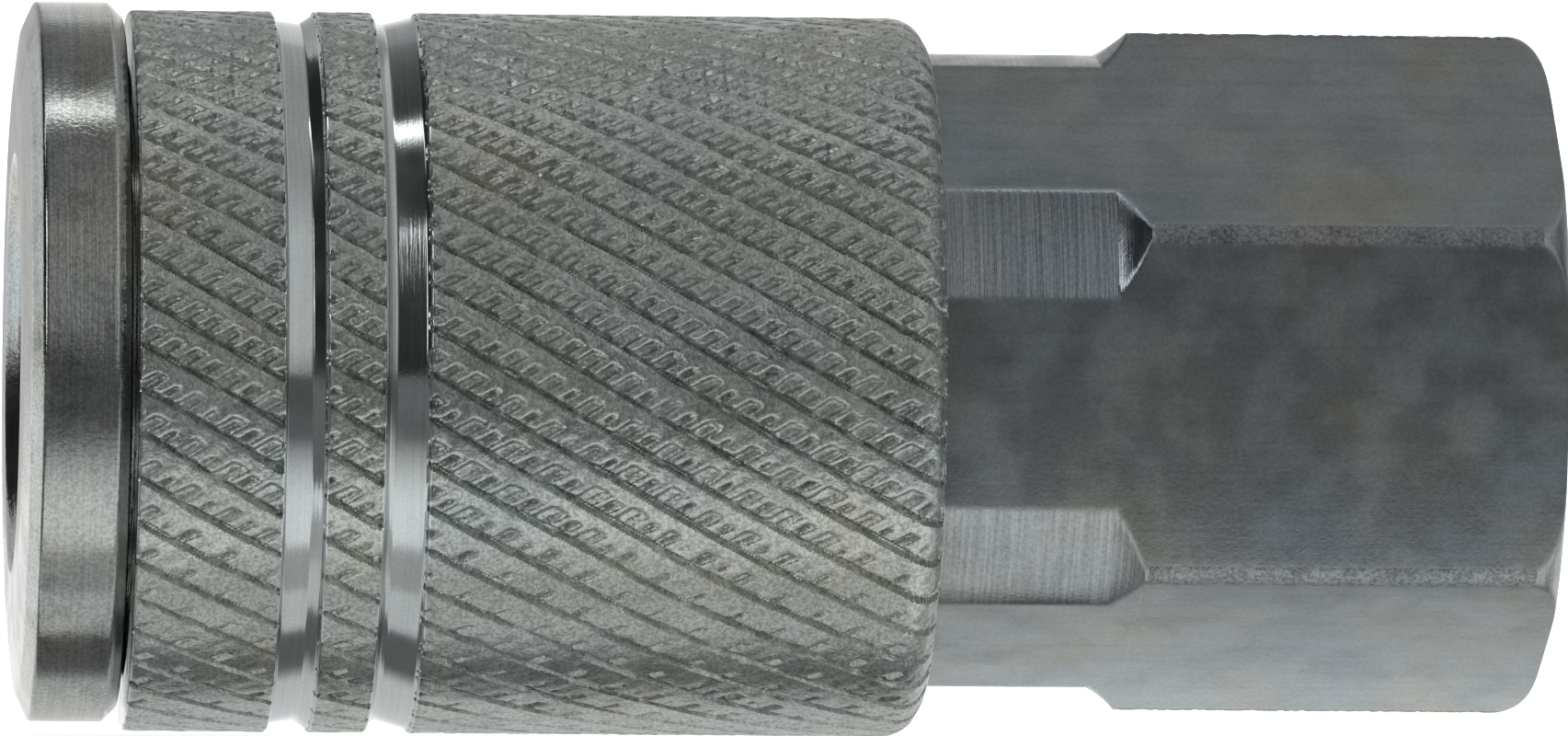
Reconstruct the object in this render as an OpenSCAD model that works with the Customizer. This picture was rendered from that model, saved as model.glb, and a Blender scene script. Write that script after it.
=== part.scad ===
// Quick disconnect coupler for a compressed-air line: the socket half, with a ball lock,
// a knurled sleeve that is pulled back to release the plug, and a check valve.
//
// Millimetres, +Z up. The coupler's axis is X. The origin is the centre of the pipe
// thread's mouth, on the end face of the hexagon, and the coupler runs from there along -X
// to its nose. Places along the axis are "stations", measured from the face of the nose.

/* [Overall] */
// Length from the nose to the end of the hexagon
overall_length = 48.7; // [47.2:0.1:60]
// Width of the hexagon across its flats
hex_across_flats = 19.05; // [19.05:0.05:24]
// Turn of the hexagon about the axis, where it came to rest when it was tightened
hex_clock = 6.3; // [0:0.1:60]

/* [Hexagon end] */
// Length of the full hexagon
hex_length = 13.3; // [12.5:0.1:17]
// How far the hexagon's sharp corners are turned back, on the radius
hex_corner_cut = 0.1; // [0.05:0.01:0.4]
// Radius that the end of the hexagon is rounded to
end_radius = 1.15; // [0.8:0.05:1.6]
// Diameter that the corners are turned to on the neck, where the sleeve slides
neck_d = 20.2; // [19.6:0.1:21]
// Length of the cone between the neck and the full corners
neck_cone = 1; // [0.6:0.1:1.4]

/* [Pipe thread] */
// Minor diameter of the pipe thread at the end face
pipe_thread_d = 11.3; // [10.5:0.05:11.6]
// Depth of the pipe thread
pipe_thread_depth = 12; // [10:0.5:13]
// Width of the countersink at the mouth of the pipe thread
pipe_mouth_d = 12.2; // [11.8:0.1:12.3]
// Thickness of the web between the pipe thread and the valve
web = 2; // [1.5:0.1:3]
// Diameter of the air passage through the web
air_passage_d = 9.2; // [8:0.1:9.6]

/* [Nose] */
// Diameter of the nose ring
nose_d = 22.9; // [22:0.05:26]
// Length of the nose ring
nose_length = 3.35; // [3:0.05:5]
// Diameter of the flat in the middle of the nose's face
nose_flat_d = 17.8; // [14:0.1:19]
// How far the face falls back from the flat to the bevel
nose_fall = 0.2; // [0.1:0.02:0.4]
// Width of the bevel between the face and the ring, on the radius
nose_bevel = 0.85; // [0.5:0.05:1.2]
// Length of the bevel along the axis
nose_bevel_length = 0.38; // [0.2:0.02:0.6]
// Chamfer at the back of the nose ring
nose_back_chamfer = 0.45; // [0.2:0.05:0.7]

/* [Plug socket] */
// Diameter of the land at the mouth of the socket, which guides the plug's collar
socket_d = 12.1; // [11.6:0.05:12.2]
// Length of the guide land, with its chamfer
socket_land = 7.4; // [6:0.1:7.6]
// Diameter of the socket behind the guide land
socket_inner_d = 12.5; // [12.4:0.05:12.8]
// Depth of the socket to the seal's retainer
socket_depth = 15.4; // [15:0.1:16.4]
// Chamfer at the mouth of the socket
socket_chamfer = 0.55; // [0.3:0.05:0.8]
// Diameter of the bore that takes the plug's nose
plug_nose_bore_d = 8.2; // [8:0.05:8.6]

/* [Barrel] */
// Thickness of the barrel's wall between the socket and the sleeve
barrel_wall = 1.75; // [1.65:0.05:1.9]
// Outside diameter of the thread that joins the body to the adapter
joint_thread_d = 15; // [14.6:0.1:15.2]
// Diameter of the valve chamber
chamber_d = 12.7; // [12.4:0.1:12.9]
// Diameter of the counterbore that holds the valve guide
guide_seat_d = 13.4; // [13.2:0.1:13.5]

/* [Ball lock] */
// Diameter of a locking ball
ball_d = 3.175; // [3:0.025:3.4]
// Station of the ring of balls
ball_station = 9.9; // [9.6:0.1:10.4]
// How far each ball moves out when the sleeve is pulled back
ball_lift = 0.9; // [0.6:0.05:0.9]

/* [Sleeve] */
// Length of the sleeve
sleeve_length = 25.4; // [24:0.1:26.4]
// Diameter over the knurl
sleeve_d = 22.95; // [22.6:0.05:26]
// How far the sleeve can be pulled back
sleeve_travel = 4.5; // [3.5:0.1:4.6]
// Gap between the nose ring and the sleeve at rest
sleeve_gap = 0.2; // [0.1:0.05:0.4]
// How far the loose sleeve hangs below the axis when the coupler lies level
sleeve_sag = 0.25; // [0:0.05:0.25]
// Radius at the back edge of the sleeve
sleeve_back_radius = 1.15; // [0.5:0.05:1.2]
// Distance from the front of the sleeve to the first grip groove
groove_1_at = 4.55; // [3:0.05:5]
// Distance from the front of the sleeve to the second grip groove
groove_2_at = 7.9; // [7:0.05:9]
// Width of the first grip groove
groove_1_width = 1.25; // [0.8:0.05:1.5]
// Width of the second grip groove
groove_2_width = 1.3; // [0.8:0.05:1.5]
// Depth of a grip groove
groove_depth = 0.4; // [0.2:0.05:0.6]

/* [Springs] */
// Wire diameter of the sleeve spring
sleeve_wire_d = 0.9; // [0.7:0.05:1]
// Number of turns of the sleeve spring
sleeve_spring_turns = 5; // [4:0.5:5]
// Wire diameter of the valve spring
valve_wire_d = 0.7; // [0.5:0.05:0.8]
// Number of turns of the valve spring
valve_spring_turns = 5.5; // [4:0.5:5.5]

/* [Seals and washers] */
// Thickness of the plug seal's rubber
plug_seal_section = 1.9; // [1.6:0.05:2]
// Thickness of the joint seal's rubber
joint_seal_section = 1.05; // [0.9:0.05:1.1]
// Thickness of the seal retainer
retainer_thickness = 0.8; // [0.6:0.05:1]
// Thickness of each spring washer
washer_thickness = 0.7; // [0.5:0.05:0.8]

/* [Valve] */
// How far the plug pushes the valve back
valve_travel = 3; // [2:0.1:3.2]
// Diameter of the valve's nose, which the plug pushes
valve_nose_d = 7.2; // [6.8:0.1:7.4]
// Length of the valve's nose
valve_nose_length = 2.4; // [2:0.1:3]
// Diameter of the valve's flange and of its seal
valve_flange_d = 10.4; // [10:0.1:10.8]
// Thickness of the valve's seal
valve_seal_thickness = 1.2; // [1:0.1:1.5]
// Thickness of the valve's flange
valve_flange_thickness = 1; // [0.8:0.1:1.2]
// Diameter of the valve's stem
valve_stem_d = 3; // [2.5:0.1:3.4]
// Width of the air slots across the valve's nose
valve_slot = 1.4; // [1:0.1:1.8]
// Thickness of the valve guide
guide_thickness = 1.4; // [1.2:0.1:1.6]

/* [Clearances] */
// Radial clearance of the sleeve on the barrel and on the neck
sleeve_clearance = 0.35; // [0.3:0.01:0.4]
// Clearance between the sleeve's cone and the balls
ball_clearance = 0.3; // [0.28:0.01:0.35]
// Radial clearance of a ball in its hole
ball_hole_clearance = 0.06; // [0.04:0.01:0.1]
// Clearance of small parts that move or seat against each other
part_clearance = 0.1; // [0.05:0.01:0.12]

/* [Hidden] */

// Number of locking balls, each of them a node
ball_count = 6;
// Facets of a full circle, steps in an arc and overlap of a cut past the face that it opens
round_fn = 96;
arc_steps = 10;
cut = 1;
// A cut that stops inside the metal has its edges broken by this much
edge_break = 0.25;
// Steps of a spring's turn and sides of its wire
spring_steps = 24;
wire_sides = 10;

// Stations along the axis, from the nose to the hexagon
sleeve_front = nose_length + sleeve_gap;
sleeve_back = sleeve_front + sleeve_length;
neck_cone_at = overall_length - hex_length - neck_cone;
web_back = overall_length - pipe_thread_depth;
web_front = web_back - web;
body_back = web_front - part_clearance;
guide_front = body_back - guide_thickness;
seal_seat = socket_depth + retainer_thickness + plug_seal_section + part_clearance;
valve_seat = body_back - 12.2;
joint_face = sleeve_back - 4.35;
washer_back_front = joint_face - washer_thickness;
washer_seat = ball_station + 3.5;
valve_nose_front = valve_seat + part_clearance - valve_nose_length;
valve_seal_front = valve_seat + part_clearance;
valve_flange_front = valve_seal_front + valve_seal_thickness;
valve_flange_back = valve_flange_front + valve_flange_thickness;

// Radii
hex_corner_r = hex_across_flats / 2 / cos(30) - hex_corner_cut;
neck_r = neck_d / 2;
barrel_r = socket_inner_d / 2 + barrel_wall;
skirt_r = neck_r + sleeve_clearance;
land_r = barrel_r + sleeve_clearance + 0.05;
joint_seal_seat_r = joint_thread_d / 2 + joint_seal_section + 0.05;

// At rest the balls stand into the socket, and when they are lifted they leave it
ball_rest_r = socket_inner_d / 2 + ball_d / 2 - ball_lift - 0.04;
ball_slope = ball_lift / sleeve_travel;
ball_hole_r = ball_d / 2 + ball_hole_clearance;
// The sleeve's cone lies parallel to the path that a ball takes inside it
cone_r_at_balls = ball_rest_r + (ball_d / 2 + ball_clearance) * sqrt(1 + ball_slope * ball_slope);
cone_r_lifted = cone_r_at_balls + ball_lift;
cone_front = ball_station - sleeve_travel;
cone_back = ball_station + (cone_r_at_balls - land_r) / ball_slope;

// ---- Shared shapes ----

// Puts a shape that runs along +Z at a station on the coupler's axis
module at_station(station) {
    translate([station - overall_length, 0, 0]) rotate([0, 90, 0]) children();
}

// A turned solid. Its outline is a list of [radius, station]
module turned(outline) {
    at_station(0) rotate_extrude($fn = round_fn) polygon(outline);
}

// A round bar or bore between two stations
module round_bar(from, to, d) {
    at_station(from) cylinder(h = to - from, d = d, $fn = round_fn);
}

// A washer or a ring between two stations
module flat_ring(from, to, outer_d, inner_d) {
    difference() {
        round_bar(from, to, outer_d);
        round_bar(from - cut, to + cut, inner_d);
    }
}

// A rubber ring of round section
module o_ring(station, inner_r, section) {
    at_station(station) rotate_extrude($fn = round_fn)
        translate([inner_r + section / 2, 0]) circle(d = section, $fn = 32);
}

// Points [radius, station] of a quarter ellipse about a centre, between two angles
function arc(centre, radii, from, to) = [
    for (i = [0 : arc_steps]) let (a = from + (to - from) * i / arc_steps)
        [centre[0] + radii[0] * cos(a), centre[1] + radii[1] * sin(a)]
];

// Centre line of a coil spring: its last half turn at each end lies flat
function coil_point(t, turns, r, from, to) =
    let (lead = min(max((t - 0.5) / (turns - 1), 0), 1))
    [from + (to - from) * lead, r * cos(360 * t), r * sin(360 * t)];

// A coil spring between two stations, with its wire inside them
module coil_spring(from, to, mean_r, wire_d, turns) {
    rings = ceil(turns * spring_steps);
    first = from + wire_d / 2;
    last = to - wire_d / 2;
    points = [
        for (i = [0 : rings]) let (t = turns * i / rings, c = coil_point(t, turns, mean_r, first, last))
            for (j = [0 : wire_sides - 1]) let (a = 360 * j / wire_sides, out = 1 + wire_d / 2 / mean_r * cos(a))
                [c[0] + wire_d / 2 * sin(a), c[1] * out, c[2] * out]
    ];
    sides = [
        for (i = [0 : rings - 1]) for (j = [0 : wire_sides - 1]) let (k = (j + 1) % wire_sides)
            [i * wire_sides + j, i * wire_sides + k, (i + 1) * wire_sides + k, (i + 1) * wire_sides + j]
    ];
    start_cap = [for (j = [wire_sides - 1 : -1 : 0]) j];
    end_cap = [for (j = [0 : wire_sides - 1]) rings * wire_sides + j];
    translate([-overall_length, 0, 0]) polyhedron(points, concat([start_cap], sides, [end_cap]));
}

// ---- Fixed parts ----

// Turned from hexagon bar: neck, full hexagon, pipe thread at the back, body thread in front
module hex_adapter() {
    outline = concat(
        [[0, joint_face], [neck_r - edge_break, joint_face], [neck_r, joint_face + edge_break]],
        [[neck_r, neck_cone_at], [hex_corner_r, neck_cone_at + neck_cone]],
        arc([hex_corner_r - end_radius, overall_length - end_radius], [end_radius, end_radius], 0, 90),
        [[0, overall_length]]
    );
    mouth = (pipe_mouth_d - pipe_thread_d) / 2;
    color("lightsteelblue") difference() {
        intersection() {
            turned(outline);
            rotate([hex_clock, 0, 0]) at_station(joint_face - cut)
                cylinder(h = overall_length - joint_face + 2 * cut, d = hex_across_flats / cos(30), $fn = 6);
        }
        round_bar(joint_face - cut, joint_face + joint_seal_section + 0.05, 2 * joint_seal_seat_r);
        round_bar(joint_face - cut, web_front, joint_thread_d + part_clearance);
        round_bar(web_front - cut, web_back + cut, air_passage_d);
        round_bar(web_back, overall_length + cut, pipe_thread_d);
        turned([
            [0, overall_length - mouth], [pipe_thread_d / 2, overall_length - mouth],
            [pipe_mouth_d / 2, overall_length], [pipe_mouth_d / 2, overall_length + cut], [0, overall_length + cut]
        ]);
    }
}

// Nose ring, barrel, plug socket, seal seat, valve seat and valve chamber, turned in one piece
module socket_body() {
    outside = [
        [0, 0], [nose_flat_d / 2, 0], [nose_d / 2 - nose_bevel, nose_fall],
        [nose_d / 2, nose_fall + nose_bevel_length], [nose_d / 2, nose_length - nose_back_chamfer],
        [nose_d / 2 - nose_back_chamfer, nose_length], [barrel_r, nose_length], [barrel_r, joint_face],
        [joint_thread_d / 2, joint_face], [joint_thread_d / 2, body_back], [0, body_back]
    ];
    socket_r = socket_d / 2;
    inner_r = socket_inner_d / 2;
    nose_bore_r = plug_nose_bore_d / 2;
    seat_bevel = 0.5;
    inside = [
        [0, -cut], [socket_r + socket_chamfer + cut, -cut], [socket_r, socket_chamfer],
        [socket_r, socket_land], [inner_r, socket_land + inner_r - socket_r], [inner_r, seal_seat],
        [nose_bore_r, seal_seat], [nose_bore_r, valve_seat - seat_bevel],
        [nose_bore_r + seat_bevel, valve_seat], [chamber_d / 2, valve_seat], [chamber_d / 2, guide_front],
        [guide_seat_d / 2, guide_front], [guide_seat_d / 2, body_back + cut], [0, body_back + cut]
    ];
    color("gainsboro") difference() {
        turned(outside);
        turned(inside);
        for (i = [0 : ball_count - 1]) ball_direction(i) ball_hole();
    }
}

// Turns a shape that points along +Z to the direction of a ball
module ball_direction(i) {
    translate([ball_station - overall_length, 0, 0]) rotate([360 * i / ball_count, 0, 0]) children();
}

// A ball's hole narrows towards the socket, so the ball shows there but can't fall in.
// Its seat is a cone that lies the hole's clearance away from the ball at rest
module ball_hole() {
    seat_slope = 0.35;
    seat_r = ball_hole_r * sqrt(1 + seat_slope * seat_slope);
    seat_z = (ball_hole_r - seat_r) / seat_slope;
    lip_z = -0.7 * ball_d / 2;
    translate([0, 0, ball_rest_r]) {
        translate([0, 0, lip_z])
            cylinder(h = seat_z - lip_z, r1 = seat_r + seat_slope * lip_z, r2 = ball_hole_r, $fn = round_fn);
        translate([0, 0, seat_z]) cylinder(h = barrel_r - ball_rest_r + cut, r = ball_hole_r, $fn = round_fn);
    }
}

// Pressed into the end of the socket, it holds the plug seal in its seat
module seal_retainer() {
    color("goldenrod") flat_ring(socket_depth, socket_depth + retainer_thickness, socket_inner_d,
        plug_nose_bore_d);
}

// Seals on the plug's nose
module plug_seal() {
    station = seal_seat - (plug_seal_section + part_clearance) / 2;
    color("dimgray") o_ring(station, socket_inner_d / 2 - plug_seal_section - 0.2, plug_seal_section);
}

// Seals the thread between the body and the adapter
module joint_seal() {
    color("dimgray") o_ring(joint_face + joint_seal_section / 2 + 0.02, joint_thread_d / 2 + 0.02, joint_seal_section);
}

// Spider that the valve's stem slides in, clamped between the body and the adapter's web
module valve_guide() {
    rim = 1.1;
    spoke = 1.4;
    hub_d = valve_stem_d + 2.4;
    color("goldenrod") difference() {
        union() {
            flat_ring(guide_front, body_back, guide_seat_d - 2 * part_clearance, guide_seat_d - 2 * rim);
            round_bar(guide_front, body_back, hub_d);
            for (i = [0 : 2]) rotate([120 * i, 0, 0]) at_station(guide_front)
                translate([0, -spoke / 2, 0]) cube([guide_seat_d / 2 - rim / 2, spoke, body_back - guide_front]);
        }
        round_bar(guide_front - cut, body_back + cut, valve_stem_d + 2 * part_clearance);
    }
}

// Rests on the adapter and takes the back end of the sleeve spring
module spring_washer_back() {
    color("silver") flat_ring(washer_back_front, joint_face, 2 * skirt_r - 0.9, 2 * (barrel_r + part_clearance));
}

module sleeve_spring() {
    mean_r = (barrel_r + skirt_r) / 2;
    color("darkgray") coil_spring(washer_seat + washer_thickness, washer_back_front, mean_r, sleeve_wire_d,
        sleeve_spring_turns);
}

module valve_spring() {
    mean_r = valve_stem_d / 2 + 2.4;
    color("darkgray") coil_spring(valve_flange_back, guide_front, mean_r, valve_wire_d, valve_spring_turns);
}

// ---- Parts that move with the sleeve ----

// The knurled sleeve: a cone over the balls, a land on the barrel and a skirt over the spring and the neck
module knurled_sleeve() {
    r = sleeve_d / 2;
    floor_r = r - groove_depth;
    break_r = r - edge_break;
    groove_1 = sleeve_front + groove_1_at;
    groove_1_end = groove_1 + groove_1_width;
    groove_2 = sleeve_front + groove_2_at;
    groove_2_end = groove_2 + groove_2_width;
    outline = concat(
        [[cone_r_lifted, sleeve_front], [break_r, sleeve_front], [r, sleeve_front + edge_break]],
        [[r, groove_1 - edge_break], [floor_r, groove_1], [floor_r, groove_1_end], [r, groove_1_end + edge_break]],
        [[r, groove_2 - edge_break], [floor_r, groove_2], [floor_r, groove_2_end], [r, groove_2_end + edge_break]],
        arc([r - sleeve_back_radius, sleeve_back - sleeve_back_radius], [sleeve_back_radius, sleeve_back_radius],
            0, asin((sleeve_back_radius - edge_break) / sleeve_back_radius)),
        [[skirt_r + edge_break, sleeve_back], [skirt_r, sleeve_back - edge_break]],
        [[skirt_r, washer_seat], [land_r, washer_seat], [land_r, cone_back], [cone_r_lifted, cone_front]]
    );
    color("lightgray") translate([0, 0, -sleeve_sag]) turned(outline);
}

// Slides with the sleeve and takes the front end of its spring
module spring_washer_front() {
    color("silver") flat_ring(washer_seat, washer_seat + washer_thickness, 2 * skirt_r - 0.9,
        2 * (barrel_r + part_clearance));
}

// One locking ball, at rest in its hole
module lock_ball(i) {
    color("white") ball_direction(i) translate([0, 0, ball_rest_r]) sphere(d = ball_d, $fn = 48);
}

// ---- Parts that move with the valve ----

// The front of the valve: air passes through its cross slots when the plug pushes it
module valve_nose() {
    slot_depth = valve_nose_length - 0.9;
    color("gold") difference() {
        round_bar(valve_nose_front, valve_seal_front, valve_nose_d);
        round_bar(valve_nose_front - cut, valve_seal_front + cut, valve_stem_d);
        for (a = [0, 90]) rotate([a, 0, 0]) at_station(valve_nose_front - cut)
            translate([-valve_nose_d, -valve_slot / 2, 0]) cube([2 * valve_nose_d, valve_slot, slot_depth + cut]);
    }
}

// Flat rubber washer that closes on the valve seat
module valve_seal() {
    color("dimgray") flat_ring(valve_seal_front, valve_flange_front, valve_flange_d, valve_stem_d);
}

// Stem and flange, which clamp the seal to the valve's nose and slide in the guide
module valve_stem() {
    spring_hub_d = valve_stem_d + 2.6;
    stem_back = web_back - 0.5;
    color("gold") union() {
        round_bar(valve_nose_front + 0.6, stem_back, valve_stem_d);
        round_bar(valve_flange_front, valve_flange_back, valve_flange_d);
        round_bar(valve_flange_back, valve_flange_back + 1, spring_hub_d);
    }
}

hex_adapter();
socket_body();
knurled_sleeve();
sleeve_spring();
spring_washer_front();
spring_washer_back();
for (i = [0 : ball_count - 1]) lock_ball(i);
plug_seal();
seal_retainer();
joint_seal();
valve_nose();
valve_seal();
valve_stem();
valve_spring();
valve_guide();
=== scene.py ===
import math

import bpy
import numpy as np
from mathutils import Matrix, Vector


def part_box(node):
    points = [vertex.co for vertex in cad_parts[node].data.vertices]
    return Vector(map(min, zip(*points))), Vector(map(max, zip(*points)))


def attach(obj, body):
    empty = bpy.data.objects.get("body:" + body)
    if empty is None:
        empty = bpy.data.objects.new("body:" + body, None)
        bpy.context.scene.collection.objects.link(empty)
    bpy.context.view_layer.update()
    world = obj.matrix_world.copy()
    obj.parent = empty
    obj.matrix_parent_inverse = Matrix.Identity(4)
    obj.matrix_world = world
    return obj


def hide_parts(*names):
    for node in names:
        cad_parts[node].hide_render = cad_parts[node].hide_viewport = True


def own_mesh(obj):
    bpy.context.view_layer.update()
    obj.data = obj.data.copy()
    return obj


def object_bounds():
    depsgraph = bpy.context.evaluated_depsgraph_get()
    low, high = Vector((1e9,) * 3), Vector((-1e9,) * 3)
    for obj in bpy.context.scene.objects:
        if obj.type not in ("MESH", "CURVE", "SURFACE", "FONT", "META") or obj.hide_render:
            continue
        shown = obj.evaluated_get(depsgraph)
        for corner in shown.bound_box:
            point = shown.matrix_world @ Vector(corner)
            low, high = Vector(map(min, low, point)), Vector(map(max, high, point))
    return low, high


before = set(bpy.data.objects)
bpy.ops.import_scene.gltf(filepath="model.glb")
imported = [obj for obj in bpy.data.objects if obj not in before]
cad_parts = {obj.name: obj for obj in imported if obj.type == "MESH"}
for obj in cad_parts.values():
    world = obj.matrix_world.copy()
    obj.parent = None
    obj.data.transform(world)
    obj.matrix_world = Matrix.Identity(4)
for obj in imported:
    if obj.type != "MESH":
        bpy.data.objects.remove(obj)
cad_low, cad_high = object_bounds()

MM = 0.001

# ---- Studio ----
# The coupler lies on a pale table in front of a white backdrop, in a room that is dim on the camera's
# side. A long strip light hangs above it, as over a product table.
coupler_length = cad_high.x - cad_low.x
coupler_middle = Vector(((cad_low.x + cad_high.x) / 2, 0, 0))
camera_distance = 583 * MM
camera_ahead_of_nose = 22.4 * MM
view_width = 50.05 * MM
camera_roll = math.radians(0.55)

camera = bpy.data.objects.new("camera", bpy.data.cameras.new("camera"))
camera.location = (cad_low.x - camera_ahead_of_nose, -camera_distance, 0)
aim = coupler_middle + Vector((0.28, 0, 0.02)) * MM
gaze = aim - camera.location
level_view = gaze.to_track_quat("-Z", "Y").to_matrix()
camera.rotation_euler = (level_view @ Matrix.Rotation(camera_roll, 3, "Z")).to_euler()
camera.data.sensor_width = 36
camera.data.lens = camera.data.sensor_width * gaze.length / view_width
camera.data.clip_start = 0.01
bpy.context.collection.objects.link(camera)
bpy.context.scene.camera = camera
bpy.context.scene.view_settings.view_transform = "Standard"


def shade_ramp(nodes, links, place, stops):
    """Grey levels along a line, from (place, level) stops, as a colour."""
    first, last = stops[0], stops[-1]
    span = nodes.new("ShaderNodeMapRange")
    span.inputs["From Min"].default_value, span.inputs["From Max"].default_value = first[0], last[0]
    shades = nodes.new("ShaderNodeValToRGB")
    elements = shades.color_ramp.elements
    elements[0].color, elements[1].color = [(level, level, level, 1) for _, level in (first, last)]
    for spot, level in stops[1:-1]:
        elements.new((spot - first[0]) / (last[0] - first[0])).color = (level, level, level, 1)
    links.new(place, span.inputs["Value"])
    links.new(span.outputs[0], shades.inputs[0])
    return shades.outputs[0]


def multiplied(nodes, links, first, second):
    mix = nodes.new("ShaderNodeMix")
    mix.data_type, mix.blend_type = "RGBA", "MULTIPLY"
    mix.inputs[0].default_value = 1
    links.new(first, mix.inputs[6])
    links.new(second, mix.inputs[7])
    return mix.outputs[2]


def stage_sheet(name, corners, grey, across, upward, mirrored=False):
    """A stage card that glows. Its glow changes along two axes, each with its (metres, level) stops.
    A plain card is what is seen, and a mirrored one is what only the polished metal shows."""
    material = bpy.data.materials.new(name + "_card")
    material.use_nodes = True
    nodes, links = material.node_tree.nodes, material.node_tree.links
    shader = nodes["Principled BSDF"]
    shader.inputs["Base Color"].default_value = (grey, grey, grey, 1)
    shader.inputs["Roughness"].default_value = 0.9
    shader.inputs["Specular IOR Level"].default_value = 0.1
    shader.inputs["Emission Strength"].default_value = 1
    place = nodes.new("ShaderNodeTexCoord")
    axes = nodes.new("ShaderNodeSeparateXYZ")
    links.new(place.outputs["Object"], axes.inputs[0])
    glow = [shade_ramp(nodes, links, axes.outputs[axis], stops) for axis, stops in (across, upward)]
    links.new(multiplied(nodes, links, *glow), shader.inputs["Emission Color"])
    mesh = bpy.data.meshes.new(name)
    mesh.from_pydata(corners, [], [(0, 1, 2, 3)])
    mesh.materials.append(material)
    sheet = bpy.data.objects.new(name, mesh)
    bpy.context.collection.objects.link(sheet)
    sheet.visible_glossy = mirrored
    if mirrored:
        sheet.visible_camera = sheet.visible_diffuse = sheet.visible_shadow = False


def level_sheet(reach, z):
    return [(-reach, -reach, z), (reach, -reach, z), (reach, reach, z), (-reach, reach, z)]


def upright_sheet(reach, y, low, high):
    return [(-reach, y, low), (reach, y, low), (reach, y, high), (-reach, y, high)]


floor_z = cad_low.z
even = [(0, 1.0), (1, 1.0)]
# The table glows with painted light: full behind the coupler, with a painted dimming under and in front of it,
# down to under half by 90 mm in front
stage_sheet("table", level_sheet(4, floor_z), 0.6, ("Y", [(-0.09, 0.45), (-0.012, 0.62), (0.0, 1.0)]),
            ("X", even))
stage_sheet("backdrop", upright_sheet(4, 1.1, floor_z, 1.0), 0.6, ("X", even), ("Z", even))

# What the metal mirrors is painted reflection, on glowing cards that only it sees: painted light on the table
# behind the coupler, painted shade below it, a pale patch in front of it and then dim, a pale card below the neck
# and the hexagon, a dark one past the nose as painted shade, and a backdrop painted lit in the middle that falls
# off to its sides and its top
painted_table_reflection = [(-0.07, 0.05), (-0.034, 0.1), (-0.026, 0.45), (-0.018, 0.9), (-0.0134, 0.9), (-0.0126, 0.4),
                  (-0.0099, 0.4), (-0.0095, 0.62), (-0.0074, 0.62), (-0.007, 0.12), (-0.005, 0.12),
                  (-0.0042, 0.66), (-0.001, 0.7), (0.001, 1.0)]
stage_sheet("painted_table_reflection", level_sheet(1.5, floor_z + 0.02 * MM), 0.1, ("Y", painted_table_reflection),
            ("X", even), mirrored=True)


def mirrored_card(name, low_x, high_x, low_y, high_y, glow):
    z = floor_z + 0.04 * MM
    stage_sheet(name, [(low_x, low_y, z), (high_x, low_y, z), (high_x, high_y, z), (low_x, high_y, z)], 0.1,
                ("X", [(0, glow), (1, glow)]), ("Y", even), mirrored=True)


# A glowing card that only the metal mirrors: a painted reflection of light below the neck and the hexagon
mirrored_card("painted_light_card", -0.0195, 0.03, -0.0134, -0.0074, 0.85)
# A dim card that only the metal mirrors: painted shade past the nose
mirrored_card("painted_shade_card", -0.4, -0.055, -0.4, -0.004, 0.12)
# A backdrop that only the metal mirrors, with painted light bright in the middle that falls off to its sides and
# its top
stage_sheet("mirrored_backdrop", upright_sheet(0.9, 0.64, floor_z, 0.57), 0.1,
            ("X", [(-0.9, 1.0), (-0.4, 0.8), (-0.2, 0.46), (-0.068, 0.46), (-0.032, 1.0), (0.09, 1.0), (0.2, 0.4),
                   (0.9, 0.3)]),
            ("Z", [(0.08, 1.0), (0.22, 0.7), (0.58, 0.6)]), mirrored=True)

# The room: dark past the coupler's nose, light past its hexagon, dim above, and a dark spot where the
# photographer stands
room = bpy.data.worlds.new("room")
room.use_nodes = True
room_nodes, room_links = room.node_tree.nodes, room.node_tree.links
gaze_way = room_nodes.new("ShaderNodeTexCoord")
gaze_axes = room_nodes.new("ShaderNodeSeparateXYZ")
room_links.new(gaze_way.outputs["Generated"], gaze_axes.inputs[0])
room_sides = shade_ramp(room_nodes, room_links, gaze_axes.outputs["X"],
                        [(-1, 0.02), (-0.5, 0.02), (-0.3, 0.06), (-0.1, 0.21), (0.12, 0.29), (0.24, 0.5),
                         (0.55, 0.58), (0.75, 0.35), (1, 0.12)])
room_heights = shade_ramp(room_nodes, room_links, gaze_axes.outputs["Z"],
                          [(-1, 0.8), (-0.05, 0.8), (0.15, 1.15), (0.68, 1.15), (0.9, 0.75), (1, 0.75)])
to_photographer = room_nodes.new("ShaderNodeVectorMath")
to_photographer.operation = "DISTANCE"
to_photographer.inputs[1].default_value = (0.06, -1, 0)
room_links.new(gaze_way.outputs["Generated"], to_photographer.inputs[0])
photographer = shade_ramp(room_nodes, room_links, to_photographer.outputs["Value"], [(0.08, 0.48), (0.3, 1.0)])
room_shade = multiplied(room_nodes, room_links, room_sides, room_heights)
room_links.new(multiplied(room_nodes, room_links, room_shade, photographer),
               room_nodes["Background"].inputs["Color"])
bpy.context.scene.world = room

strip = bpy.data.lights.new("strip_above", "AREA")
strip.shape = "RECTANGLE"
strip.size, strip.size_y = 0.58, 0.07
strip.energy = 0.24
strip_light = bpy.data.objects.new("strip_above", strip)
strip_light.location = (coupler_middle.x - 0.21, -0.02, 0.5)
strip_light.visible_camera = False
bpy.context.collection.objects.link(strip_light)

# A small window past the coupler's nose, which the foot of the neck's cone mirrors
window = bpy.data.lights.new("window", "AREA")
window.shape, window.size, window.size_y = "RECTANGLE", 0.2, 0.5
window.energy = 0.6
window_light = bpy.data.objects.new("window", window)
window_light.location = coupler_middle + Vector((-0.46, -0.45, 0.30))
window_light.rotation_euler = (window_light.location - coupler_middle).to_track_quat("Z", "Y").to_euler()
window_light.visible_camera = False
bpy.context.collection.objects.link(window_light)

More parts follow.
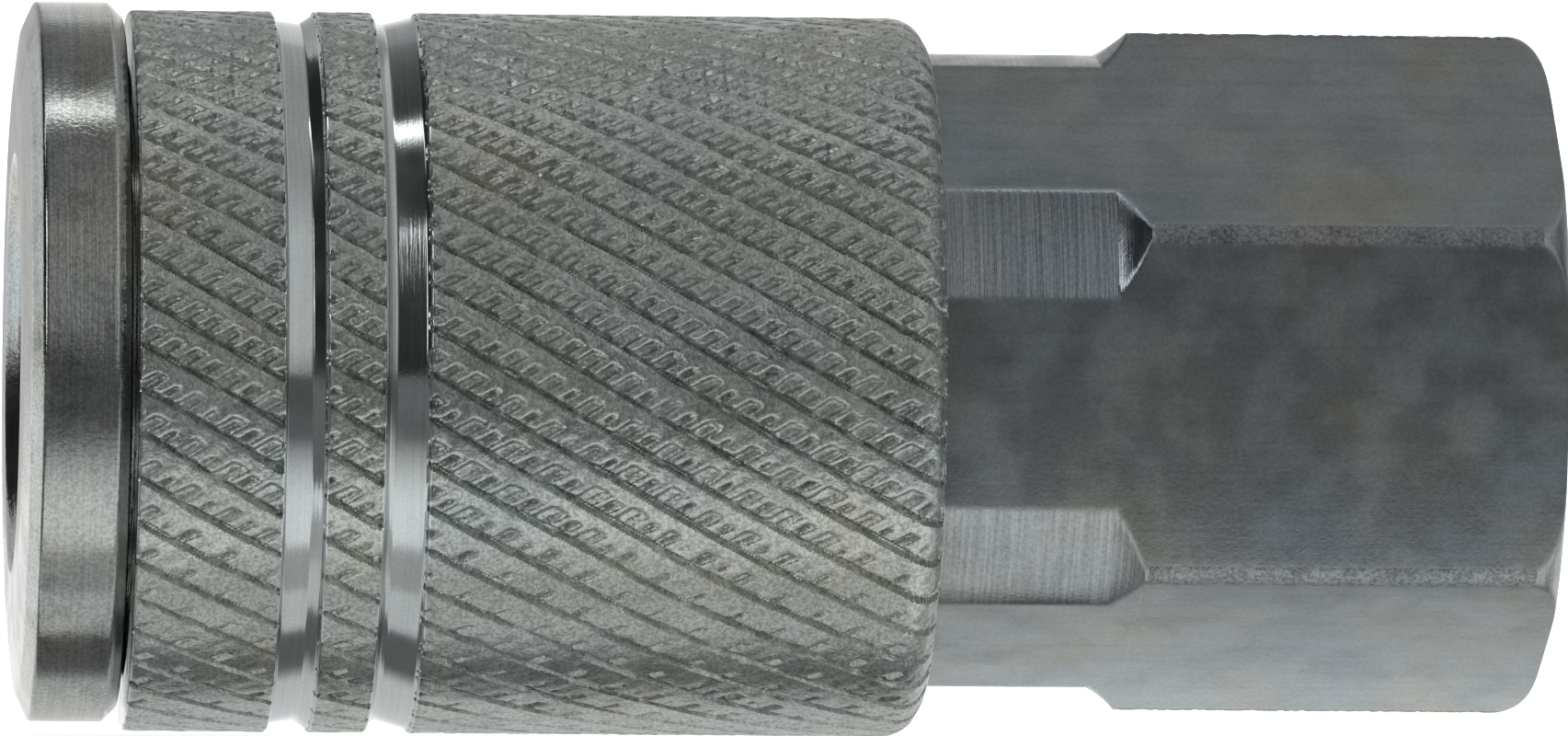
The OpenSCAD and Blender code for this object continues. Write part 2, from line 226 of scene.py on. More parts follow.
# ---- Socket body ----
# One piece turned from steel bar: the nose ring in front, the barrel that the sleeve hides, and the
# thread that screws into the hexagon adapter. The six ball holes are drilled through the barrel.
nose_r = (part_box("socket_body")[1].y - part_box("socket_body")[0].y) / 2 / MM
nose_length = 3.35
nose_flat_r = 8.9
nose_fall = 0.2
nose_bevel = 0.85
nose_bevel_length = 0.38
nose_back_chamfer = 0.45
barrel_r = 8.0
socket_r, socket_inner_r = 6.05, 6.25
socket_chamfer = 0.55
socket_land = 7.4
seal_seat = 18.2
nose_bore_r = 4.1
valve_seat = 22.4
seat_bevel = 0.5
chamber_r = 6.35
guide_front = 33.2
guide_seat_r = 6.7
joint_face = 24.6
joint_thread_r = 7.5
joint_pitch, joint_thread_depth = 1.0, 0.45
body_back = 34.6
ball_count = 6
ball_station = 9.9
ball_rest_r = 6.9
ball_r = 1.5875
ball_hole_r = ball_r + 0.06


def braced(path, margin=0.06):
    """The same outline with a point near both ends of each long step, so that only its ends shade round."""
    firm = []
    for here, after in zip(path, np.roll(path, -1, 0)):
        length = np.linalg.norm(after - here)
        firm.append(here)
        if length > 4 * margin:
            firm += [here + (after - here) * margin / length, after - (after - here) * margin / length]
    return np.array(firm)


def broken(outline, round_points=4):
    """Corners (station, radius, corner round) to an array of (station, radius), all in mm. Every
    corner is broken by a small round, because it is those rounds that catch the light."""
    path = []
    for i, (x, r, size) in enumerate(outline):
        here = np.array([x, r])
        before = np.array(outline[i - 1][:2]) - here
        after = np.array(outline[(i + 1) % len(outline)][:2]) - here
        size = min(size, 0.45 * np.linalg.norm(before), 0.45 * np.linalg.norm(after))
        if size <= 0:
            path.append(here)
            continue
        start = here + before / np.linalg.norm(before) * size
        end = here + after / np.linalg.norm(after) * size
        for t in np.linspace(0, 1, round_points + 1):
            path.append((1 - t) ** 2 * start + 2 * t * (1 - t) * here + t ** 2 * end)
    return braced(np.array(path))


def finer(path, longest, low=-math.inf, high=math.inf, least_r=0):
    """The same outline with no step longer than longest between two stations, outside of least_r."""
    fine = []
    for here, after in zip(path, np.roll(path, -1, 0)):
        inside = max(here[0], after[0]) > low and min(here[0], after[0]) < high
        inside = inside and min(here[1], after[1]) > least_r
        count = max(1, math.ceil(np.linalg.norm(after - here) / longest - 1e-6)) if inside else 1
        fine += [here + (after - here) * k / count for k in range(count)]
    return np.array(fine)


def rise(value, start, end):
    t = np.clip((value - start) / (end - start), 0, 1)
    return t * t * (3 - 2 * t)


def round_angles(steps):
    """Angles round the axis, from the camera's side and up over the top."""
    return np.linspace(0, 2 * np.pi, steps, endpoint=False)


def thread_cut(station, turn, start, end, pitch, depth):
    """Depth of a right-handed thread's groove, which fades out at its two ends."""
    phase = np.abs(((station - start) / pitch - turn / (2 * np.pi)) % 1 - 0.5) * 2
    fade = rise(station, start - 0.2 * pitch, start + 0.8 * pitch) * (1 - rise(station, end - 1.2 * pitch, end))
    return depth * np.clip((phase - 0.12) / 0.76, 0, 1) * fade


def ring_mesh(name, stations, radii, materials, slot_of=None, axis_z=0.0, sharp=40, turn=None):
    """A closed ring from stations and radii in mm, as arrays of rows by steps round the axis."""
    rows, steps = radii.shape
    turn = round_angles(steps) if turn is None else turn
    points = np.stack([
        np.broadcast_to(stations[:, None], radii.shape) * MM + cad_low.x,
        -radii * np.cos(turn) * MM,
        radii * np.sin(turn) * MM + axis_z,
    ], -1).reshape(-1, 3)
    row, step = np.meshgrid(np.arange(rows), np.arange(steps), indexing="ij")
    next_row, next_step = (row + 1) % rows, (step + 1) % steps
    faces = np.stack([row * steps + step, row * steps + next_step,
                      next_row * steps + next_step, next_row * steps + step], -1).reshape(-1, 4)
    mesh = bpy.data.meshes.new(name)
    mesh.vertices.add(len(points))
    mesh.vertices.foreach_set("co", points.ravel())
    mesh.loops.add(faces.size)
    mesh.loops.foreach_set("vertex_index", faces.ravel())
    mesh.polygons.add(len(faces))
    mesh.polygons.foreach_set("loop_start", np.arange(len(faces)) * 4)
    mesh.polygons.foreach_set("loop_total", np.full(len(faces), 4))
    for material in materials:
        mesh.materials.append(material)
    if slot_of is not None:
        mesh.polygons.foreach_set("material_index", np.broadcast_to(slot_of, radii.shape).ravel().astype(np.int32))
    mesh.update(calc_edges=True)
    mesh.validate()
    mesh.shade_smooth()
    mesh.set_sharp_from_angle(angle=math.radians(sharp))
    piece = bpy.data.objects.new(name, mesh)
    bpy.context.collection.objects.link(piece)
    return piece


def socket(group, name, kind, value=None, output=False):
    made = group.interface.new_socket(name=name, in_out="OUTPUT" if output else "INPUT", socket_type=kind)
    if value is not None:
        made.default_value = value


def make_plate_group():
    """Zinc plate: a grey metal skin with a fine grain, cloudy patches that lean to yellow and to
    blue, dull spots, and the lines that a lathe or a drawing die left in the steel below."""
    group = bpy.data.node_groups.new("zinc_plate", "ShaderNodeTree")
    socket(group, "Colour", "NodeSocketColor", (0.5, 0.5, 0.5, 1))
    socket(group, "Yellow", "NodeSocketColor", (0.5, 0.48, 0.4, 1))
    socket(group, "Blue", "NodeSocketColor", (0.4, 0.45, 0.5, 1))
    for amount, usual in (("Cloud", 0.5), ("Speckle", 0.3), ("Gloss", 0.3), ("Dull", 0.5), ("Grain", 0.3),
                          ("Turning", 0.0), ("Drawing", 0.0), ("Dents", 0.0), ("Smudge", 0.0)):
        socket(group, amount, "NodeSocketFloat", usual)
    socket(group, "Color", "NodeSocketColor", output=True)
    socket(group, "Roughness", "NodeSocketFloat", output=True)
    socket(group, "Normal", "NodeSocketVector", output=True)
    nodes, links = group.nodes, group.links
    given = nodes.new("NodeGroupInput").outputs
    result = nodes.new("NodeGroupOutput").inputs
    place = nodes.new("ShaderNodeTexCoord").outputs["Object"]

    def noise(scale, detail, stretch=None, roughness=0.5):
        source = place
        if stretch:
            mapping = nodes.new("ShaderNodeMapping")
            mapping.inputs["Scale"].default_value = stretch
            links.new(place, mapping.inputs["Vector"])
            source = mapping.outputs[0]
        node = nodes.new("ShaderNodeTexNoise")
        node.inputs["Scale"].default_value = scale
        node.inputs["Detail"].default_value = detail
        node.inputs["Roughness"].default_value = roughness
        links.new(source, node.inputs["Vector"])
        return node.outputs[0]

    def sum_of(operation, first, second):
        node = nodes.new("ShaderNodeMath")
        node.operation = operation
        for slot, value in zip(node.inputs, (first, second)):
            if isinstance(value, (int, float)):
                slot.default_value = value
            else:
                links.new(value, slot)
        return node.outputs[0]

    def mix(factor, first, second, blend="MIX"):
        node = nodes.new("ShaderNodeMix")
        node.data_type = "RGBA"
        node.blend_type = blend
        for slot, value in ((node.inputs[0], factor), (node.inputs[6], first), (node.inputs[7], second)):
            if isinstance(value, (int, float)):
                slot.default_value = value
            else:
                links.new(value, slot)
        return node.outputs[2]

    def spread(value, low, high, to_low=0.0, to_high=1.0):
        node = nodes.new("ShaderNodeMapRange")
        node.interpolation_type = "SMOOTHSTEP"
        links.new(value, node.inputs["Value"])
        node.inputs["From Min"].default_value = low
        node.inputs["From Max"].default_value = high
        node.inputs["To Min"].default_value = to_low
        node.inputs["To Max"].default_value = to_high
        return node.outputs[0]

    clouds = noise(190, 4)
    warm = sum_of("MULTIPLY", spread(clouds, 0.5, 0.68), given["Cloud"])
    cool = sum_of("MULTIPLY", spread(clouds, 0.5, 0.34), given["Cloud"])
    colour = mix(cool, mix(warm, given["Colour"], given["Yellow"]), given["Blue"])
    specks = noise(8200, 2.5, roughness=0.7)
    lines = noise(1, 3, stretch=(9000, 160, 160), roughness=0.65)
    draws = noise(1, 3, stretch=(90, 3000, 3000), roughness=0.6)
    shade = sum_of("MULTIPLY", spread(specks, 0.36, 0.62, -0.55, 0.5), given["Speckle"])
    shade = sum_of("ADD", shade, sum_of("MULTIPLY", spread(lines, 0.3, 0.7, -0.5, 0.5), given["Turning"]))
    shade = sum_of("ADD", shade, sum_of("MULTIPLY", spread(draws, 0.3, 0.6, -0.5, 0.3), given["Drawing"]))
    smear = spread(noise(600, 5), 0.35, 0.68)
    smudges = spread(noise(420, 6, roughness=0.7), 0.5, 0.72, 0.0, -1.0)
    shade = sum_of("ADD", shade, sum_of("MULTIPLY", smudges, given["Smudge"]))
    lift = sum_of("ADD", shade, 1.0)
    grey = nodes.new("ShaderNodeCombineColor")
    for slot in grey.inputs:
        links.new(lift, slot)
    links.new(mix(1.0, colour, grey.outputs[0], "MULTIPLY"), result["Color"])

    span = sum_of("SUBTRACT", given["Dull"], given["Gloss"])
    links.new(sum_of("ADD", given["Gloss"], sum_of("MULTIPLY", smear, span)), result["Roughness"])

    height = sum_of("MULTIPLY", specks, given["Grain"])
    height = sum_of("ADD", height, sum_of("MULTIPLY", lines, given["Turning"]))
    height = sum_of("ADD", height, sum_of("MULTIPLY", draws, given["Drawing"]))
    dents = spread(noise(1400, 2), 0.62, 0.7, 0.0, -1.0)
    height = sum_of("ADD", height, sum_of("MULTIPLY", dents, given["Dents"]))
    bump = nodes.new("ShaderNodeBump")
    bump.inputs["Strength"].default_value = 1.0
    bump.inputs["Distance"].default_value = 0.05 * MM
    links.new(height, bump.inputs["Height"])
    links.new(bump.outputs[0], result["Normal"])
    return group


zinc_plate = make_plate_group()


def plated_steel(name, colour, yellow, blue, **amounts):
    material = bpy.data.materials.new(name)
    material.use_nodes = True
    nodes, links = material.node_tree.nodes, material.node_tree.links
    plate = nodes.new("ShaderNodeGroup")
    plate.node_tree = zinc_plate
    plate.inputs["Colour"].default_value = (*colour, 1)
    plate.inputs["Yellow"].default_value = (*yellow, 1)
    plate.inputs["Blue"].default_value = (*blue, 1)
    for slot, value in amounts.items():
        plate.inputs[slot].default_value = value
    shader = nodes["Principled BSDF"]
    shader.inputs["Metallic"].default_value = 1.0
    links.new(plate.outputs["Color"], shader.inputs["Base Color"])
    links.new(plate.outputs["Roughness"], shader.inputs["Roughness"])
    links.new(plate.outputs["Normal"], shader.inputs["Normal"])
    return material


def stand_for(piece, node, body):
    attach(piece, body)
    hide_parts(node)


body_outline = [
    (0, nose_flat_r, 0.4), (nose_fall, nose_r - nose_bevel, 0.1),
    (nose_fall + nose_bevel_length, nose_r, 0.12),
    (nose_length - nose_back_chamfer, nose_r, 0.08), (nose_length, nose_r - nose_back_chamfer, 0.08),
    (nose_length, barrel_r, 0), (joint_face, barrel_r, 0.15), (joint_face, joint_thread_r, 0),
    (body_back, joint_thread_r, 0.3), (body_back, guide_seat_r, 0.08),
    (guide_front, guide_seat_r, 0), (guide_front, chamber_r, 0.08), (valve_seat, chamber_r, 0.1),
    (valve_seat, nose_bore_r + seat_bevel, 0.1), (valve_seat - seat_bevel, nose_bore_r, 0.1),
    (seal_seat, nose_bore_r, 0.1), (seal_seat, socket_inner_r, 0),
    (socket_land + socket_inner_r - socket_r, socket_inner_r, 0.1), (socket_land, socket_r, 0.1),
    (socket_chamfer, socket_r, 0.15), (0, socket_r + socket_chamfer, 0.12),
]
body_path = broken(body_outline)
body_path = finer(body_path, 0.1, joint_face, body_back)
body_turn = round_angles(360)
body_station, body_radius = body_path[:, 0], body_path[:, 1]
threaded = (body_station >= joint_face) & (np.abs(body_radius - joint_thread_r) < 0.31)
body_radii = np.repeat(body_radius[:, None], len(body_turn), 1)
body_radii -= threaded[:, None] * thread_cut(body_station[:, None], body_turn, joint_face, body_back + 1,
                                             joint_pitch, joint_thread_depth)

nose_plate = plated_steel("nose_plate", (0.44, 0.46, 0.44), (0.48, 0.47, 0.37), (0.38, 0.43, 0.47),
                          Cloud=0.5, Speckle=0.3, Gloss=0.11, Dull=0.22, Grain=0.14, Turning=0.2, Dents=0.05,
                          Smudge=0.35)
body = ring_mesh("turned_body", body_station, body_radii, [nose_plate])

# Each hole narrows inward to a lip, so its ball shows in the socket but can't fall in
drill_path = [(-0.7 * ball_r, 0.72 * ball_hole_r), (-0.25 * ball_r, ball_hole_r), (2.5, ball_hole_r)]
drill_steps = 48
drill_points, drill_faces = [], []
for ball in range(ball_count):
    out = Matrix.Rotation(2 * math.pi * ball / ball_count, 3, "X")
    first = len(drill_points)
    for rise_z, r in drill_path:
        for a in range(drill_steps):
            t = 2 * math.pi * a / drill_steps
            spot = out @ Vector((r * math.cos(t), r * math.sin(t), ball_rest_r + rise_z)) * MM
            drill_points.append(spot + Vector((ball_station * MM + cad_low.x, 0, 0)))
    for level in range(len(drill_path) - 1):
        for a in range(drill_steps):
            k, n = first + level * drill_steps, (a + 1) % drill_steps
            drill_faces.append((k + a, k + n, k + drill_steps + n, k + drill_steps + a))
    drill_faces.append(tuple(first + a for a in reversed(range(drill_steps))))
    drill_faces.append(tuple(first + (len(drill_path) - 1) * drill_steps + a for a in range(drill_steps)))
drill_mesh = bpy.data.meshes.new("ball_drill")
drill_mesh.from_pydata(drill_points, [], drill_faces)
drill = bpy.data.objects.new("ball_drill", drill_mesh)
bpy.context.collection.objects.link(drill)
cut = body.modifiers.new("ball_holes", "BOOLEAN")
cut.operation = "DIFFERENCE"
cut.solver = "EXACT"
cut.object = drill
drilled = bpy.data.meshes.new_from_object(body.evaluated_get(bpy.context.evaluated_depsgraph_get()))
body.modifiers.clear()
body.data = drilled
drilled.shade_smooth()
drilled.set_sharp_from_angle(angle=math.radians(40))
bpy.data.objects.remove(drill)
stand_for(body, "socket_body", "body")

# ---- Seals ----
# Black nitrile rubber: a ring in the socket for the plug's nose, a ring in the joint to the adapter,
# and the flat washer of the valve. Moulded matt, with a faint bloom.
rubber = bpy.data.materials.new("nitrile_rubber")
rubber.use_nodes = True
rubber_nodes, rubber_links = rubber.node_tree.nodes, rubber.node_tree.links
bloom = rubber_nodes.new("ShaderNodeTexNoise")
bloom.inputs["Scale"].default_value = 900
bloom.inputs["Detail"].default_value = 5
bloom_colours = rubber_nodes.new("ShaderNodeValToRGB")
bloom_colours.color_ramp.elements[0].color = (0.012, 0.012, 0.013, 1)
bloom_colours.color_ramp.elements[1].color = (0.045, 0.045, 0.047, 1)
bloom_place = rubber_nodes.new("ShaderNodeTexCoord")
rubber_links.new(bloom_place.outputs["Object"], bloom.inputs["Vector"])
rubber_links.new(bloom.outputs[0], bloom_colours.inputs[0])
rubber_links.new(bloom_colours.outputs[0], rubber_nodes["Principled BSDF"].inputs["Base Color"])
rubber_nodes["Principled BSDF"].inputs["Roughness"].default_value = 0.6


def wear(node, material):
    """Gives a CAD node this material in every slot."""
    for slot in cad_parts[node].material_slots:
        slot.material = material


for seal in ("plug_seal", "joint_seal", "valve_seal"):
    wear(seal, rubber)

# ---- Valve, guide and seal retainer ----
# Turned brass: the valve's nose and stem, the spider that it slides in and the ring pressed into the
# end of the socket.
brass = plated_steel("turned_brass", (0.62, 0.46, 0.20), (0.66, 0.50, 0.22), (0.50, 0.36, 0.18),
                     Cloud=0.5, Speckle=0.15, Gloss=0.22, Dull=0.4, Grain=0.1, Turning=0.3)
for turned_part in ("seal_retainer", "valve_nose", "valve_stem", "valve_guide"):
    wear(turned_part, brass)

# ---- Locking balls ----
# Six hard bearing balls, ground and polished, with only the faintest haze.
ball_steel = plated_steel("ball_steel", (0.62, 0.62, 0.63), (0.62, 0.6, 0.56), (0.56, 0.6, 0.64),
                          Cloud=0.2, Speckle=0.03, Gloss=0.06, Dull=0.14, Grain=0.0, Turning=0.0)
for number in range(1, ball_count + 1):
    wear(f"lock_ball_{number}", ball_steel)

# ---- Hexagon adapter ----
# Turned from hexagon bar, whose corners are turned down to the neck that the sleeve slides over. The
# flats keep the bar's drawn skin. The pipe thread is cut into its back end.
adapter_end = coupler_length / MM
apothem = 19.05 / 2
hex_clock = math.radians(6.3)
corner_r = apothem / math.cos(math.radians(30)) - 0.1
end_radius = 1.15
neck_r = 10.1
neck_cone_at = adapter_end - 13.3 - 1
neck_cone = 1
seal_groove_r, seal_groove = 8.6, 1.1
joint_bore_r = 7.55
web_front, web_back = adapter_end - 14, adapter_end - 12
air_passage_r = 4.6
pipe_minor_r = 5.65
pipe_mouth_r = 6.1
pipe_pitch, pipe_thread_height = 1.411, 0.85
neck_edge_softness, edge_softness, corner_softness = 0.012, 0.045, 0.084
worn_corner = 0.34
foot_slope, cone_top_slope = math.radians(25), math.radians(52.6)
adapter_steps = 576
corner_crowding = 0.75

end_arc = [(adapter_end - end_radius * (1 - math.sin(a)), corner_r - end_radius * (1 - math.cos(a)), 0)
           for a in np.linspace(0, math.pi / 2, 15)]
# The cone from the neck up to the corners is hollow, as the nose of the turning tool left it
cone_round = neck_cone / (math.sin(cone_top_slope) - math.sin(foot_slope))
cone_arc = [(neck_cone_at + cone_round * (math.sin(a) - math.sin(foot_slope)),
             neck_r + cone_round * (math.cos(foot_slope) - math.cos(a)), 0)
            for a in np.linspace(foot_slope, cone_top_slope, 9)]
mouth = pipe_mouth_r - pipe_minor_r
adapter_outline = [
    (joint_face, seal_groove_r, 0.05), (joint_face, neck_r, 0.25), *cone_arc,
    (neck_cone_at + neck_cone, corner_r, 0.03), *end_arc,
    (adapter_end, corner_r - end_radius - 0.35, 0), (adapter_end, pipe_mouth_r, 0.05),
    (adapter_end - mouth, pipe_minor_r, 0), (web_back, pipe_minor_r, 0.3), (web_back, air_passage_r, 0.15),
    (web_front, air_passage_r, 0.15), (web_front, joint_bore_r, 0),
    (joint_face + seal_groove, joint_bore_r, 0.1), (joint_face + seal_groove, seal_groove_r, 0.1),
]
adapter_path = finer(broken(adapter_outline), 0.1, web_back, adapter_end)
adapter_path = finer(adapter_path, 0.06, neck_cone_at - 0.1, neck_cone_at + neck_cone + 0.1)
adapter_path = adapter_path[np.append(True, np.linalg.norm(np.diff(adapter_path, axis=0), axis=1) > 1e-4)]
adapter_station, adapter_radius = adapter_path[:, 0], adapter_path[:, 1]

# The steps round the adapter crowd together at the hexagon's corners
adapter_turn = round_angles(adapter_steps)
adapter_turn = adapter_turn + corner_crowding / 6 * np.sin(6 * (adapter_turn + hex_clock))


def soft_least(values, softness):
    """The least of several surfaces, with the edge between them rounded over."""
    values = np.stack(values)
    least = values.min(0)
    return least - softness * np.log(np.exp((least - values) / softness).sum(0))


from_flat = (adapter_turn + hex_clock + math.pi / 6) % (math.pi / 3) - math.pi / 6
flat_r = apothem / np.cos(from_flat)
next_flat_r = apothem / np.cos(math.pi / 3 - np.abs(from_flat))
bar_r = soft_least([flat_r, next_flat_r], corner_softness)
softness = np.where(adapter_station > neck_cone_at, edge_softness, neck_edge_softness)[:, None]
turned_r = np.repeat(adapter_radius[:, None], adapter_steps, 1)
outer = (adapter_radius > 8.9)[:, None]
adapter_radii = np.where(outer, soft_least([turned_r, np.broadcast_to(bar_r, turned_r.shape)], softness),
                         turned_r)
on_bar = outer & (flat_r < turned_r)

# The corners of the hexagon are scuffed by the turning tool's chatter and by handling
draw = np.random.default_rng(11)
scuff_waves = [(draw.uniform(3, 22), draw.uniform(-9, 9), draw.uniform(0, 6.28)) for _ in range(14)]
along, corner_gap = adapter_station[:, None], (math.pi / 6 - np.abs(from_flat)) * corner_r
scuff = sum(np.sin(w * along + s * corner_gap + p) for w, s, p in scuff_waves) / 4.5
scuffed = (rise(along, neck_cone_at + neck_cone, neck_cone_at + neck_cone + 0.4)
           * (1 - rise(along, adapter_end - 1.4, adapter_end - 1.0)) * outer)
adapter_radii -= 0.03 * np.clip(scuff + 0.2, 0, 1) * np.exp(-(corner_gap / 0.33) ** 2) * scuffed

# The pipe thread runs out through the countersink at the mouth
in_thread = (~outer[:, 0]) & (adapter_station > web_back + 0.01) & (adapter_radius < pipe_mouth_r + 0.01)
pipe_r = pipe_minor_r + thread_cut(web_back + adapter_end + 1 - along, -adapter_turn, web_back + 1,
                                   adapter_end + 1, pipe_pitch, pipe_thread_height)
adapter_radii = np.where(in_thread[:, None], np.maximum(adapter_radii, pipe_r), adapter_radii)

bar_plate = plated_steel("bar_plate", (0.335, 0.365, 0.37), (0.39, 0.385, 0.31), (0.28, 0.33, 0.38),
                         Cloud=0.5, Speckle=0.14, Gloss=0.3, Dull=0.42, Grain=0.16, Drawing=0.08, Smudge=0.12)
turned_plate = plated_steel("turned_plate", (0.34, 0.37, 0.385), (0.37, 0.375, 0.33), (0.29, 0.34, 0.39),
                            Cloud=0.5, Speckle=0.2, Gloss=0.22, Dull=0.36, Grain=0.15, Turning=0.3, Smudge=0.15)
corner_plate = plated_steel("corner_plate", (0.30, 0.32, 0.325), (0.33, 0.32, 0.28), (0.26, 0.29, 0.32),
                            Cloud=0.4, Speckle=0.5, Gloss=0.5, Dull=0.7, Grain=0.6, Smudge=0.4)
on_corner = (outer & (corner_gap < worn_corner) & (along > neck_cone_at + neck_cone + 0.1)
             & (along < adapter_end - 0.9))
adapter = ring_mesh("hexagon_adapter", adapter_station, adapter_radii, [bar_plate, turned_plate, corner_plate],
                    slot_of=np.where(on_corner, 2, ~on_bar), sharp=24, turn=adapter_turn)
stand_for(adapter, "hex_adapter", "body")

# ---- Spring washers ----
# Stamped from strip and plated, one at each end of the sleeve's spring.
washer_plate = plated_steel("washer_plate", (0.46, 0.46, 0.46), (0.50, 0.47, 0.38), (0.38, 0.42, 0.46),
                            Cloud=0.5, Speckle=0.2, Gloss=0.25, Dull=0.45, Grain=0.2, Turning=0.0)
for washer in ("spring_washer_front", "spring_washer_back"):
    wear(washer, washer_plate)

# ---- Springs ----
# Coiled from drawn wire, with the last half turn at each end laid flat and ground square. The big
# one pushes the sleeve to the nose, the small one closes the valve.
spring_wire = plated_steel("spring_wire", (0.34, 0.34, 0.35), (0.36, 0.34, 0.30), (0.30, 0.33, 0.36),
                           Cloud=0.3, Speckle=0.15, Gloss=0.2, Dull=0.35, Grain=0.1, Turning=0.0)
turn_steps = 60
wire_sides = 16


def coiled_spring(node, body_name, turns, wire_r):
    low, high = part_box(node)
    front, back = low.x / MM, high.x / MM
    mean_r = (high.z - low.z) / 2 / MM - wire_r
    rings = round(turns * turn_steps)
    points, faces = [], []
    for i in range(rings + 1):
        t = turns * i / rings
        lead = min(max((t - 0.5) / (turns - 1), 0), 1)
        middle = front + 0.7 * wire_r + (back - front - 1.4 * wire_r) * lead
        for side in range(wire_sides):
            a = 2 * math.pi * side / wire_sides
            x = min(max(middle + wire_r * math.sin(a), front), back)
            r = mean_r + wire_r * math.cos(a)
            points.append(Vector((x, r * math.cos(2 * math.pi * t), r * math.sin(2 * math.pi * t))) * MM)
    for i in range(rings):
        for side in range(wire_sides):
            k, n = i * wire_sides, (side + 1) % wire_sides
            faces.append((k + side, k + n, k + wire_sides + n, k + wire_sides + side))
    faces.append(tuple(reversed(range(wire_sides))))
    faces.append(tuple(rings * wire_sides + side for side in range(wire_sides)))
    mesh = bpy.data.meshes.new(node + "_coil")
    mesh.from_pydata(points, [], faces)
    mesh.materials.append(spring_wire)
    mesh.shade_smooth()
    mesh.set_sharp_from_angle(angle=math.radians(40))
    spring = bpy.data.objects.new(node + "_coil", mesh)
    bpy.context.collection.objects.link(spring)
    stand_for(spring, node, body_name)
    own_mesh(spring)


coiled_spring("sleeve_spring", "body", turns=5, wire_r=0.45)
coiled_spring("valve_spring", "body", turns=5.5, wire_r=0.35)

# ---- Knurled sleeve ----
# Turned from bar, then knurled by a coarse wheel and a fine one that cross it at the same slant.
# The two grip grooves are turned after the knurling, so they are bright and smooth.
sleeve_low, sleeve_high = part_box("knurled_sleeve")
sleeve_r = (sleeve_high.z - sleeve_low.z) / 2 / MM
sleeve_hang = (sleeve_high.z + sleeve_low.z) / 2
sleeve_front = (sleeve_low.x - cad_low.x) / MM
sleeve_back = (sleeve_high.x - cad_low.x) / MM
groove_1_at, groove_1_width = 4.58, 1.36
groove_2_at, groove_2_width = 7.72, 1.44
groove_depth = 0.4
front_round, back_round = 0.22, 1.15
cone_wide, cone_front_at, cone_back_at = 9.72, 5.4, 12.01
land_r, land_end, skirt_r = 8.4, 13.4, 10.45
knurl_steps = 1200
knurl_row = 0.1
coarse_starts = 50
fine_starts = 100
slant = math.tan(math.radians(30))
pit_depth, line_depth = 0.19, 0.25

floor_r = sleeve_r - groove_depth
first, second = sleeve_front + groove_1_at, sleeve_front + groove_2_at
back_arc = [(sleeve_back - back_round * (1 - math.sin(a)), sleeve_r - back_round * (1 - math.cos(a)), 0)
            for a in np.linspace(0, math.radians(52), 9)]
sleeve_outline = [
    (sleeve_front, cone_wide, 0.1), (sleeve_front, sleeve_r, front_round),
    (first, sleeve_r, 0.1), (first + 0.06, floor_r + 0.13, 0.05),
    (first + groove_1_width - 0.5, floor_r, 0.04), (first + groove_1_width - 0.12, floor_r + 0.26, 0.03),
    (first + groove_1_width - 0.02, sleeve_r, 0.06),
    (second, sleeve_r, 0.1), (second + 0.12, floor_r + 0.1, 0.08), (second + 0.34, floor_r, 0.04),
    (second + groove_2_width - 0.16, floor_r + 0.25, 0.03), (second + groove_2_width, sleeve_r, 0.08),
    *back_arc,
    (sleeve_back, sleeve_r - 0.75 * back_round, 0.1), (sleeve_back, skirt_r, 0.2),
    (land_end, skirt_r, 0), (land_end, land_r, 0), (cone_back_at, land_r, 0), (cone_front_at, cone_wide, 0),
]
sleeve_path = finer(broken(sleeve_outline), knurl_row, least_r=floor_r - 0.5)
station, radius = sleeve_path[:, 0], sleeve_path[:, 1]

# How much of the knurl each row keeps: none in the grooves, all of it on the bands and over both edges
keep = np.clip((radius - (sleeve_r - 0.1)) / 0.08, 0, 1)
over_the_back = (station > sleeve_back - back_round) & (radius > sleeve_r - 0.8 * back_round)
over_the_front = (station < sleeve_front + front_round) & (radius > sleeve_r - front_round)
keep = np.where(over_the_back | over_the_front, 1, keep)
for edge in (sleeve_front, first, first + groove_1_width, second, second + groove_2_width, sleeve_back):
    keep = np.minimum(keep, np.clip((np.abs(station - edge) - 0.01) / 0.08, 0, 1))
turn = round_angles(knurl_steps)
around = turn[None, :] * sleeve_r
along = station[:, None]


def wander(a, b, seed, finest=14, waves=10):
    """Smooth unevenness from -1 to 1 over the sleeve, the same in every run."""
    draw = np.random.default_rng(seed)
    total = 0
    for _ in range(waves):
        k, j = draw.integers(1, finest), draw.uniform(0.05, finest / 12)
        total = total + np.sin(k * b / sleeve_r + j * a * draw.choice([-1, 1]) + draw.uniform(0, 6.28))
    return np.clip(total / math.sqrt(waves) / 1.3, -1, 1)


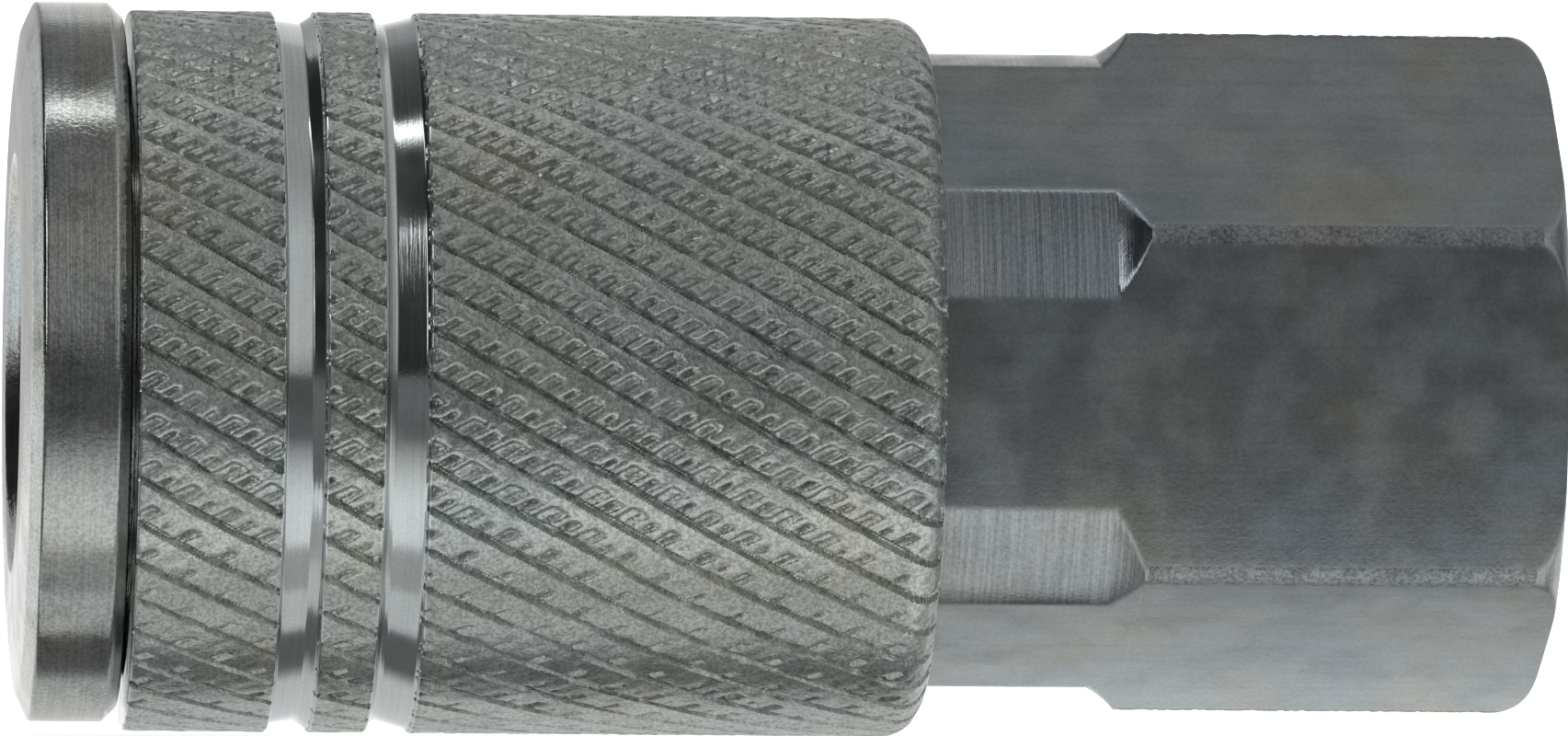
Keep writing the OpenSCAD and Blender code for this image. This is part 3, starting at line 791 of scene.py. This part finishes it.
coarse_pitch = 2 * np.pi * sleeve_r / coarse_starts
fine_pitch = 2 * np.pi * sleeve_r / fine_starts
coarse = (-(around + along * slant) / coarse_pitch + 0.05 * wander(along, around, 3)) % 1
fine_count = (around - along * slant) / fine_pitch + 0.08 * wander(along, around, 4)
fine = fine_count % 1
every_other = np.cos(np.pi * np.floor(fine_count)) * (0.08 + 0.2 * rise(-np.sin(turn), -0.15, 0.15)[None, :])

# The wheels bite unevenly. Where they press less, the pits and lines are shorter as well as shallower
press = (0.95 + 0.22 * wander(along, around, 5) + 0.14 * wander(along, around, 6, finest=60, waves=24)
         - (0.7 * rise(-np.sin(turn), 0.28, 0.62) + 0.35 * rise(np.sin(turn), 0.78, 0.95))[None, :])
across = np.abs(fine - 0.5) * 2
lengthways = np.abs(coarse - 0.64) / 0.3
pits = np.clip((press + every_other - np.maximum(1.45 * across, lengthways ** 2)) / 0.6, 0, 1)
line_press = 1.0 + 0.25 * wander(along, around, 7) + 0.2 * wander(along, around, 8, finest=60, waves=24)
lines = np.clip(1.3 * (line_press - np.abs(coarse - 0.93) / 0.1), 0, 1)
ripple = 0.5 - 0.5 * np.cos(2 * np.pi * fine)
bumps = wander(along, around, 9, finest=160, waves=40)
relief = np.maximum(pit_depth * pits, line_depth * lines) + 0.012 * ripple + 0.008 * (1 + bumps)
radii = radius[:, None] - relief * keep[:, None]

knurl_plate = plated_steel("knurl_plate", (0.50, 0.53, 0.50), (0.54, 0.54, 0.45), (0.44, 0.50, 0.53),
                           Cloud=0.4, Speckle=0.45, Gloss=0.28, Dull=0.46, Grain=0.5, Smudge=0.15)
groove_plate = plated_steel("groove_plate", (0.58, 0.62, 0.62), (0.58, 0.59, 0.52), (0.52, 0.58, 0.63),
                            Cloud=0.3, Speckle=0.06, Gloss=0.1, Dull=0.18, Grain=0.03, Turning=0.1)
smooth = (keep + np.roll(keep, -1)) / 2 < 0.35
sleeve = ring_mesh("sleeve_with_knurl", station, radii, [knurl_plate, groove_plate],
                   slot_of=smooth[:, None], axis_z=sleeve_hang, sharp=35)
stand_for(sleeve, "knurled_sleeve", "sleeve")
